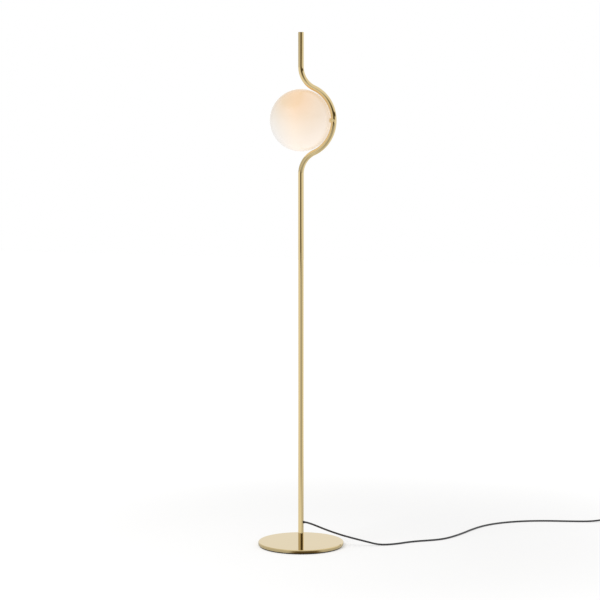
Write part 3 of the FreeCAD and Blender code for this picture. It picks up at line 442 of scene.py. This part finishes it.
def glowing_with_painted_light(material, limb_loss=0.0):
    """Gives a material the bulb's glow as emission, with some lost where the wall is crossed aslant. On the
    opal glass this is the lamp's own glow; on the white carrier and ring it is painted glow.
    """
    loss_from = 0.55
    nodes, links = material.node_tree.nodes, material.node_tree.links
    shader = nodes["Principled BSDF"]
    glow = nodes.new("ShaderNodeGroup")
    glow.node_tree = glow_and_painted_light_group
    aslant = nodes.new("ShaderNodeLayerWeight")
    passed = nodes.new("ShaderNodeMapRange")
    passed.inputs["From Min"].default_value = loss_from
    passed.inputs["From Max"].default_value = 1.0
    passed.inputs["To Min"].default_value = 1.0
    passed.inputs["To Max"].default_value = 1.0 - limb_loss
    dimmed = nodes.new("ShaderNodeVectorMath")
    dimmed.operation = "SCALE"
    links.new(aslant.outputs["Facing"], passed.inputs["Value"])
    links.new(glow.outputs["Color"], dimmed.inputs[0])
    links.new(passed.outputs["Result"], dimmed.inputs["Scale"])
    links.new(dimmed.outputs["Vector"], shader.inputs["Emission Color"])
    shader.inputs["Emission Strength"].default_value = 1.0
    return material


def make_opal_glass():
    """Opal glass with a soft gloss. Its tone is low because the glow is added to it."""
    material, shader = blank_material("opal glass")
    shader.inputs["Base Color"].default_value = (0.40, 0.39, 0.38, 1)
    shader.inputs["Roughness"].default_value = 0.26
    shader.inputs["IOR"].default_value = 1.5
    return glowing_with_painted_light(material, limb_loss=0.42)


# The polished brass is almost a mirror, with the faintest polishing haze.
finishes = {
    "polished_brass": grained("polished brass", (0.79, 0.625, 0.325), (0.81, 0.65, 0.35),
                              scale=90.0, rough=(0.045, 0.075), height=0.01, metallic=1.0),
    "turned_brass": grained("turned brass", (0.72, 0.56, 0.30), (0.66, 0.50, 0.26),
                            scale=600.0, rough=(0.24, 0.36), height=0.25, metallic=1.0),
    "zinc_steel": grained("zinc plated steel", (0.60, 0.61, 0.63), (0.54, 0.55, 0.58),
                          scale=500.0, rough=(0.28, 0.42), height=0.3, metallic=1.0),
    "spring_steel": grained("drawn spring wire", (0.52, 0.53, 0.55), (0.44, 0.45, 0.47),
                            scale=900.0, rough=(0.22, 0.34), height=0.2, metallic=1.0),
    "nickel_cap": grained("nickel cap", (0.68, 0.68, 0.66), (0.61, 0.61, 0.59),
                          scale=500.0, rough=(0.20, 0.32), height=0.15, metallic=1.0),
    "nickel_pins": grained("nickel pins", (0.74, 0.73, 0.70), (0.68, 0.67, 0.64),
                           scale=700.0, rough=(0.14, 0.24), height=0.1, metallic=1.0),
    "pad_rubber": grained("pad rubber", (0.020, 0.019, 0.018), (0.032, 0.030, 0.028),
                          scale=900.0, rough=(0.62, 0.80), height=0.5),
    "black_rubber": grained("black rubber", (0.022, 0.022, 0.023), (0.032, 0.032, 0.033),
                            scale=1500.0, rough=(0.42, 0.58), height=0.35),
    "cord_black": grained("lead sheath", (0.030, 0.030, 0.032), (0.044, 0.044, 0.047),
                          scale=1400.0, rough=(0.36, 0.48), height=0.25),
    # Painted glow: the white enamel carrier and the white plastic ring are given the bulb's glow as
    # emission, though they are no lamp.
    "white_enamel": glowing_with_painted_light(grained("white enamel with painted glow", (0.38, 0.37, 0.35), (0.42, 0.41, 0.40),
                                    scale=180.0, rough=(0.30, 0.42), height=0.05)),
    "white_plastic": glowing_with_painted_light(grained("white ring with painted glow", (0.38, 0.37, 0.36), (0.42, 0.41, 0.40),
                                     scale=900.0, rough=(0.32, 0.42), height=0.1)),
    "holder_white": grained("holder resin", (0.84, 0.83, 0.79), (0.88, 0.87, 0.84),
                            scale=900.0, rough=(0.36, 0.48), height=0.2),
    "bulb_white": grained("bulb housing", (0.86, 0.86, 0.84), (0.90, 0.90, 0.88),
                          scale=900.0, rough=(0.30, 0.40), height=0.15),
    "bulb_insulator": grained("cap glass", (0.05, 0.05, 0.06), (0.08, 0.07, 0.08),
                              scale=700.0, rough=(0.10, 0.20), height=0.1),
    "bulb_board": grained("board lacquer", (0.82, 0.83, 0.82), (0.87, 0.87, 0.86),
                          scale=700.0, rough=(0.28, 0.38), height=0.1),
    "bulb_opal": grained("bulb diffuser", (0.93, 0.90, 0.84), (0.95, 0.93, 0.88),
                         scale=500.0, rough=(0.34, 0.44), height=0.1),
    "opal_glass": make_opal_glass(),
    "switch_black": grained("switch shell", (0.022, 0.022, 0.023), (0.030, 0.030, 0.032),
                            scale=2600.0, rough=(0.40, 0.52), height=0.6),
    "button_black": grained("switch button", (0.020, 0.020, 0.021), (0.026, 0.026, 0.028),
                            scale=900.0, rough=(0.20, 0.30), height=0.1),
    "insulator": grained("moulded insulator", (0.70, 0.66, 0.58), (0.76, 0.72, 0.65),
                         scale=800.0, rough=(0.40, 0.52), height=0.2),
    "plug_black": grained("plug moulding", (0.024, 0.024, 0.025), (0.033, 0.033, 0.034),
                          scale=2000.0, rough=(0.34, 0.46), height=0.4)}


# ---- lamp --------------------------------------------------------------------------------------------
def make_base_disc():
    """Round plate with a rounded rim, a bolt hole and a recess under it for the bolt's head."""
    profile = [(base_z, recess_r, 0), (base_z, base_r, base_under_round),
               (base_top_z, base_r, base_top_round), (base_top_z, bolt_hole_r, 0),
               (recess_z, bolt_hole_r, 0), (recess_z, recess_r, 0)]
    disc = turned("base_disc", Vector(), Z_AXIS, filleted(profile, points_per_corner=6), steps=192)
    smooth(disc)
    dress(disc, "lamp", "polished_brass", finishes["polished_brass"], "base_plate")


def make_stem():
    """One tube from the base: straight, reverse bend, arc round the globe, reverse bend, straight."""
    rise = math.sqrt(arc_r ** 2 + 2 * arc_r * bend_r)
    lean = math.asin(rise / (arc_r + bend_r))
    low_z = globe_z - rise
    high_z = globe_z + rise
    top_z = stem_top_z - end_cap_t
    degrees_per_step = 2.5
    bend_steps = round(math.degrees(lean) / degrees_per_step)
    select_nothing()
    bpy.ops.mesh.primitive_circle_add(vertices=64, radius=tube_r, location=(0, 0, base_top_z))
    stem = bpy.context.object
    stem.name = stem.data.name = "stem"
    begin_edit()
    bpy.ops.mesh.extrude_region_move(TRANSFORM_OT_translate={"value": (0, 0, low_z - base_top_z)})
    bpy.ops.mesh.spin(steps=bend_steps, angle=-lean, center=(bend_r, 0, low_z), axis=Y_AXIS)
    bpy.ops.mesh.spin(steps=2 * bend_steps, angle=2 * lean, center=(0, 0, globe_z), axis=Y_AXIS)
    bpy.ops.mesh.spin(steps=bend_steps, angle=-lean, center=(bend_r, 0, high_z), axis=Y_AXIS)
    bpy.ops.mesh.extrude_region_move(TRANSFORM_OT_translate={"value": (0, 0, top_z - high_z)})
    bpy.ops.mesh.select_all(action="SELECT")
    bpy.ops.mesh.normals_make_consistent(inside=False)
    end_edit()
    add_modifier(stem, "SOLIDIFY", thickness=tube_wall, offset=-1.0, use_even_offset=True)
    smooth(stem, degrees=40)
    dress(stem, "lamp", "polished_brass", finishes["polished_brass"], "stem_tube")


def make_stem_end():
    """Flat cap on the tube's end, with a plug that sits in its bore."""
    low_z = stem_top_z - end_cap_t
    plug_z = low_z - end_cap_plug_h
    plug_r = tube_r - tube_wall - fit_gap
    profile = [(plug_z, 0, 0), (plug_z, plug_r, end_cap_plug_round), (low_z, plug_r, 0), (low_z, tube_r, 0),
               (stem_top_z, tube_r, end_cap_round), (stem_top_z, 0, 0)]
    end = turned("stem_end", Vector(), Z_AXIS, filleted(profile, points_per_corner=3), steps=64)
    smooth(end)
    dress(end, "lamp", "polished_brass", finishes["polished_brass"], "tube_end_cap")


def make_cord_bush():
    """Rubber bush: a neck through the stem's wall, and a blunt cone with a soft lip outside it."""
    bore = cord_r + fit_gap
    wall_x = tube_r - tube_wall
    root_x = math.sqrt(tube_r ** 2 - grommet_r ** 2)
    profile = [(wall_x, bore, 0), (wall_x, grommet_neck_r, 0), (root_x, grommet_neck_r, 0),
               (root_x, grommet_r, 0), (exit_x, grommet_tip_r, grommet_tip_round), (exit_x, bore, 0)]
    bush = turned("cord_bush", Vector((0, 0, exit_z)), X_AXIS, filleted(profile, points_per_corner=4),
                  steps=48)
    smooth(bush)
    dress(bush, "lamp", "black_rubber", finishes["black_rubber"], "cord_grommet")


def make_apex_screw():
    """Low round screw head in the stem's side at the arc's apex."""
    face = tube_r + screw_head_t
    root = math.sqrt(tube_r ** 2 - screw_head_r ** 2)
    profile = [(root, 0, 0), (root, screw_head_r, 0), (face, screw_head_r, screw_head_round), (face, 0, 0)]
    screw = turned("apex_screw", Vector((arc_r, 0, globe_z)), -Y_AXIS,
                   filleted(profile, points_per_corner=5), steps=48)
    smooth(screw)
    dress(screw, "lamp", "polished_brass", finishes["polished_brass"], "seat_screw")


def make_globe():
    """Opal sphere, cut off where its hole faces the arc's apex."""
    rim_x = math.sqrt(globe_r ** 2 - glass_hole_r ** 2)
    select_nothing()
    bpy.ops.mesh.primitive_uv_sphere_add(segments=144, ring_count=96, radius=globe_r,
                                         location=(0, 0, globe_z), rotation=(0, math.pi / 2, 0))
    globe = bpy.context.object
    globe.name = globe.data.name = "globe"
    begin_edit()
    bpy.ops.mesh.bisect(plane_co=(rim_x, 0, globe_z), plane_no=X_AXIS, clear_outer=True)
    end_edit()
    add_modifier(globe, "SOLIDIFY", thickness=glass_t, offset=-1.0)
    smooth(globe, degrees=45)
    dress(globe, "globe", "opal_glass", finishes["opal_glass"], "globe_glass")


# ---- foot switch and plug ----------------------------------------------------------------------------
def lay_on_switch(piece, turn=0.0, place=(0, 0, 0)):
    """Takes a piece drawn round the origin, cord along X, to its place by the foot switch."""
    piece.data.transform(Matrix.Translation(Vector(place)) @ Matrix.Rotation(turn, 4, "Z"))
    piece.data.transform(Matrix.Translation(switch_at) @ switch_turn.to_4x4())


def grooved_sleeve(start, end, start_r, end_r, first, pitch):
    """Points along a tapered sleeve with rounded grooves cut round it."""
    grooves = 5
    depth = 0.0006
    slope_l = 0.0003
    floor_l = 0.0010
    groove_round = 0.0002
    end_round = 0.0004

    def radius(along):
        return start_r + (end_r - start_r) * (along - start) / (end - start)

    points = [(start, start_r, 0)]
    for i in range(grooves):
        along = first + i * pitch
        points += [(along, radius(along), groove_round),
                   (along + slope_l, radius(along) - depth, groove_round),
                   (along + slope_l + floor_l, radius(along) - depth, groove_round),
                   (along + 2 * slope_l + floor_l, radius(along), groove_round)]
    return points + [(end, end_r, end_round)]


def make_switch_boots():
    """Grooved rubber sleeves, each buttoned through the switch's end wall."""
    bore = cord_r + fit_gap
    neck_x = 0.03587
    neck_r = 0.0042
    flange_x = neck_x - 0.002
    flange_r = 0.006
    flange_round = 0.0003
    sleeve_x = 0.0393
    sleeve = grooved_sleeve(sleeve_x, boot_end_x, start_r=0.0063, end_r=0.0042, first=0.0425, pitch=0.0031)
    profile = [(flange_x, bore, 0), (flange_x, flange_r, flange_round), (neck_x, flange_r, flange_round),
               (neck_x, neck_r, 0), (sleeve_x, neck_r, 0)] + sleeve + [(boot_end_x, bore, 0)]
    boots = []
    for name, turn, node in (("outlet_boot", 0.0, "switch_outlet_boot"),
                             ("inlet_boot", math.pi, "switch_inlet_boot")):
        boot = turned(name, Vector((0, 0, switch_cord_z)), X_AXIS, filleted(profile, points_per_corner=3),
                      steps=48)
        lay_on_switch(boot, turn)
        smooth(boot)
        boots.append(dress(boot, "lamp", "black_rubber", finishes["black_rubber"], node))
    return boots


def make_plug():
    """Flat two-pin plug: a rounded face, grip ribs across its waist, and a grooved boot. Each step of
    the body is how far it goes along, and how much wider and thicker it gets on the way."""
    face_inset = 0.001
    ribs = 4
    face = [(0.0003, 1.030, 1.078), (0.0007, 1.022, 1.056), (0.0100, 1.006, 1.014), (0.0040, 1.0, 1.0)]
    rib = [(0.0004, 0.985, 0.935), (0.0009, 0.995, 1.0), (0.0004, 0.995, 1.062), (0.0010, 0.985, 0.998)]
    shoulder = [(0.0022, 0.93, 0.99), (0.0026, 0.86, 0.985), (0.0026, 0.80, 0.98), (0.0020, 0.80, 0.97),
                (0.0008, 0.86, 0.93)]
    select_nothing()
    bpy.ops.mesh.primitive_plane_add(size=1.0, location=(-plug_l, 0, 0), rotation=(0, math.pi / 2, 0))
    body = bpy.context.object
    body.name = body.data.name = "plug"
    body.scale = (plug_t - 2 * face_inset, plug_w - 2 * face_inset, 1)
    begin_edit()
    bpy.ops.mesh.bevel(offset=plug_corner - face_inset, segments=8, affect="VERTICES")
    for step, wide, thick in face + rib * ribs + shoulder:
        bpy.ops.mesh.extrude_region_move(TRANSFORM_OT_translate={"value": (step, 0, 0)})
        bpy.ops.transform.resize(value=(1, wide, thick), center_override=(0, 0, 0))
    bpy.ops.mesh.select_all(action="SELECT")
    bpy.ops.mesh.normals_make_consistent(inside=False)
    end_edit()
    boot_r = 0.0055
    boot_root_x = -0.004
    sleeve = grooved_sleeve(0.0, plug_boot_l, start_r=boot_r, end_r=0.0038, first=0.0035, pitch=0.0034)
    profile = [(boot_root_x, 0, 0), (boot_root_x, boot_r, 0)] + sleeve + [(plug_boot_l, 0, 0)]
    boot = turned("plug_boot", Vector(), X_AXIS, filleted(profile, points_per_corner=3), steps=48)
    select_nothing()
    add_modifier(body, "BOOLEAN", operation="UNION", solver="EXACT", object=boot)
    bpy.data.objects.remove(boot)
    lay_on_switch(body, place=(boot_end_x - plug_boot_l, coil_end_y, plug_axis_z))
    smooth(body, degrees=40)
    return dress(body, "lamp", "plug_black", finishes["plug_black"], "plug_body")


def smooth_copy(node, body, edge_r):
    """A merged copy of a node with its round faces shaded round and, given a radius, its edges eased."""
    merge_within = 0.000001
    flat_within = math.radians(0.5)
    edge_from = math.radians(40)
    name = "round_" + node
    slot = node_slots[node]
    piece = bpy.data.objects.new(name, frame["nodes"][node].data.copy())
    piece.data.name = name
    bpy.context.scene.collection.objects.link(piece)
    select_only(piece)
    begin_edit()
    bpy.ops.mesh.remove_doubles(threshold=merge_within)
    end_edit()
    if edge_r:
        add_modifier(piece, "DECIMATE", decimate_type="DISSOLVE", angle_limit=flat_within)
        add_modifier(piece, "BEVEL", width=edge_r, segments=2, limit_method="ANGLE", angle_limit=edge_from)
    smooth(piece, degrees=28)
    return dress(piece, body, slot, finishes[slot], node)


# ---- studio ------------------------------------------------------------------------------------------
# Levels are strengths, where 1 is white. What the brass mirrors is set apart from what lights it.
def turned_to_right(degrees):
    """The way towards the camera, turned towards the picture's right."""
    angle = math.radians(degrees)
    return towards_camera * math.cos(angle) + camera_right * math.sin(angle)


def ramp_node(tree, source, over, levels):
    """Goes softly from the first level to the second while the source runs over the range given."""
    ramp = tree.nodes.new("ShaderNodeMapRange")
    ramp.interpolation_type = "SMOOTHSTEP"
    for label, value in zip(("From Min", "From Max", "To Min", "To Max"), (*over, *levels)):
        ramp.inputs[label].default_value = value
    tree.links.new(source, ramp.inputs["Value"])
    return ramp.outputs["Result"]


def vector_node(tree, operation, source, other=None):
    step = tree.nodes.new("ShaderNodeVectorMath")
    step.operation = operation
    tree.links.new(source, step.inputs[0])
    if other is not None:
        step.inputs[1].default_value = other
    return step


def share_towards(tree, way, degrees):
    """How nearly a way points to a heading in front of the lamp: 1 straight to it, 0 square to it."""
    return vector_node(tree, "DOT_PRODUCT", way, turned_to_right(degrees)).outputs["Value"]


def mix_node(tree, factor, low, high):
    """Blends two numbers; either may be a socket."""
    mix = tree.nodes.new("ShaderNodeMix")
    mix.data_type = "FLOAT"
    tree.links.new(factor, mix.inputs["Factor"])
    for label, value in (("A", low), ("B", high)):
        if isinstance(value, float):
            mix.inputs[label].default_value = value
        else:
            tree.links.new(value, mix.inputs[label])
    return mix.outputs["Result"]


def warm_where_dark(tree, glossy, level, over, warm):
    """White for every ray but the mirrored ones, for which the darker the level the warmer the colour."""
    darkness = ramp_node(tree, level, over=over, levels=(1.0, 0.0))
    tint = tree.nodes.new("ShaderNodeMix")
    tint.data_type = "RGBA"
    tint.inputs["A"].default_value = (1, 1, 1, 1)
    tint.inputs["B"].default_value = (*warm, 1)
    tree.links.new(mix_node(tree, glossy, 0.0, darkness), tint.inputs["Factor"])
    return tint.outputs["Result"]


def make_floor():
    """White to the camera, with the lamp's soft shadow. The brass mirrors it pale, with painted shade that
    only
    reflections show: a shade to the right near the lamp and in front farther off, and the darkest, a painted
    shadow of the base, in front close to it."""
    select_nothing()
    bpy.ops.mesh.primitive_plane_add(size=24.0, location=(0, 0, 0))
    floor = bpy.context.object
    floor.name = floor.data.name = "floor"
    material, shader = blank_material("pale floor")
    shader.inputs["Roughness"].default_value = 0.9
    shader.inputs["Specular IOR Level"].default_value = 0.0
    tree = material.node_tree
    place = tree.nodes.new("ShaderNodeTexCoord").outputs["Object"]
    path = tree.nodes.new("ShaderNodeLightPath")
    camera, glossy = path.outputs["Is Camera Ray"], path.outputs["Is Glossy Ray"]
    away = vector_node(tree, "LENGTH", place).outputs["Value"]
    heading = vector_node(tree, "NORMALIZE", place).outputs["Vector"]

    # Painted shade on the floor, seen only in reflections; base_shade is a painted shadow of the base beside
    # its rim.
    near_shade = ramp_node(tree, share_towards(tree, heading, 80), over=(0.1, 0.9), levels=(0.90, 0.62))
    far_shade = ramp_node(tree, share_towards(tree, heading, 15), over=(0.58, 0.95), levels=(0.90, 0.47))
    far_off = ramp_node(tree, away, over=(0.30, 1.7), levels=(0.0, 1.0))
    base_shade = ramp_node(tree, share_towards(tree, heading, 7.5), over=(0.86, 0.985), levels=(0.55, 0.10))
    by_base = ramp_node(tree, away, over=(0.185, 0.215), levels=(1.0, 0.0))
    mirrored = mix_node(tree, by_base, mix_node(tree, far_off, near_shade, far_shade), base_shade)

    whitened = ramp_node(tree, away, over=(0.5, 3.0), levels=(0.40, 0.80))
    plain_level = 0.50
    plain_tone = 0.80
    strength = mix_node(tree, glossy, mix_node(tree, camera, plain_level, whitened), mirrored)
    tree.links.new(mix_node(tree, glossy, plain_tone, 0.0), shader.inputs["Base Color"])
    # Painted reflection colour: the darker the mirrored shade, the warmer it is.
    tree.links.new(warm_where_dark(tree, glossy, mirrored, over=(0.08, 0.45), warm=(1.0, 0.72, 0.35)),
                   shader.inputs["Emission Color"])
    tree.links.new(strength, shader.inputs["Emission Strength"])
    floor.data.materials.append(material)


def make_key_light():
    """One large soft light, high up to the left of the camera, that the brass doesn't mirror."""
    data = bpy.data.lights.new("key light", "AREA")
    data.shape = "DISK"
    data.size = 2.2
    data.energy = 60.0
    data.color = (1.0, 0.99, 0.97)
    light = bpy.data.objects.new("key light", data)
    bpy.context.scene.collection.objects.link(light)
    place = towards_camera * 1.6 - camera_right * 2.4 + Z_AXIS * 3.4
    aim_at = Vector((0.1, 0.1, 0.3))
    light.location = place
    light.rotation_euler = (aim_at - place).to_track_quat("-Z", "Y").to_euler()
    light.visible_glossy = False


def make_surroundings():
    """White to the camera, and an even soft light on everything. The brass mirrors a white studio that
    is grey on the left, with a dark patch behind the camera; in a band low over the horizon the patch
    is wide and lies more to the right."""
    world = bpy.data.worlds.new("studio")
    bpy.context.scene.world = world
    world.use_nodes = True
    tree = world.node_tree
    tree.nodes.clear()
    output = tree.nodes.new("ShaderNodeOutputWorld")
    shown = tree.nodes.new("ShaderNodeBackground")
    path = tree.nodes.new("ShaderNodeLightPath")
    camera, glossy = path.outputs["Is Camera Ray"], path.outputs["Is Glossy Ray"]
    way = tree.nodes.new("ShaderNodeTexCoord").outputs["Generated"]
    split = tree.nodes.new("ShaderNodeSeparateXYZ")
    tree.links.new(way, split.inputs["Vector"])
    height = split.outputs["Z"]

    patch_level = 0.12
    wide_patch_level = 0.07
    left_grey = ramp_node(tree, share_towards(tree, way, -90), over=(0.10, 0.85), levels=(0.90, 0.60))
    patch = ramp_node(tree, share_towards(tree, way, 10), over=(0.60, 0.985), levels=(0.0, 1.0))
    wide_patch = ramp_node(tree, share_towards(tree, way, 34), over=(0.35, 0.78), levels=(0.0, 1.0))
    band_foot = ramp_node(tree, height, over=(0.11, 0.17), levels=(0.0, 1.0))
    band_head = ramp_node(tree, height, over=(0.26, 0.33), levels=(0.0, 1.0))
    upper = mix_node(tree, mix_node(tree, band_head, band_foot, 0.0),
                     mix_node(tree, patch, left_grey, patch_level),
                     mix_node(tree, wide_patch, left_grey, wide_patch_level))
    lower = ramp_node(tree, share_towards(tree, way, -8), over=(0.80, 0.985), levels=(0.90, 0.08))
    over_horizon = ramp_node(tree, height, over=(0.0, 0.04), levels=(0.0, 1.0))
    mirrored = mix_node(tree, over_horizon, lower, upper)

    ambient_level = 0.50
    seen = mix_node(tree, camera, mix_node(tree, glossy, ambient_level, mirrored), 1.0)
    tree.links.new(warm_where_dark(tree, glossy, mirrored, over=(0.08, 0.65), warm=(1.0, 0.82, 0.45)),
                   shown.inputs["Color"])
    tree.links.new(seen, shown.inputs["Strength"])
    tree.links.new(shown.outputs["Background"], output.inputs["Surface"])
    world.cycles.sampling_method = "NONE"
    bpy.context.scene.view_settings.view_transform = "Standard"


# ---- everything --------------------------------------------------------------------------------------
place_camera()
node_slots = {row["node"]: row["material_slot"] for row in frame["record"]["subparts"]}
for node, piece in frame["nodes"].items():
    piece.data.materials.clear()
    piece.data.materials.append(finishes[node_slots[node]])

round_copies = [("switch_upper_shell", "lamp", eased_edge), ("switch_lower_shell", "lamp", eased_edge),
                ("switch_feet", "lamp", 0), ("switch_button", "button", 0), ("plug_pins", "lamp", 0),
                ("base_pad", "lamp", eased_pad_edge), ("seat_saddle", "lamp", 0), ("seat_nipple", "lamp", 0),
                ("globe_carrier", "lamp", 0), ("carrier_nut", "lamp", 0), ("globe_ring", "globe", 0),
                ("holder_dome", "lamp", 0), ("holder_body", "lamp", 0), ("bulb_skirt", "lamp", 0),
                ("bulb_diffuser", "lamp", 0), ("switch_spring", "lamp", 0)]
copies = {node: smooth_copy(node, body, edge_r) for node, body, edge_r in round_copies}

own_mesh(copies["switch_spring"])

plug = make_plug()
boots = make_switch_boots()
lead = dress(cord_piece("lead", cord_points), "lamp", "cord_black", finishes["cord_black"], "cord_to_switch")
coiled = coiled_lead_points()
coiled_lead = dress(cord_piece("coiled_lead", coiled), "lamp", "cord_black", finishes["cord_black"],
                    "cord_to_coil", "cord_coil", "cord_to_plug")

make_base_disc()
make_stem()
make_stem_end()
make_cord_bush()
make_apex_screw()
make_globe()

make_floor()
make_key_light()
make_surroundings()
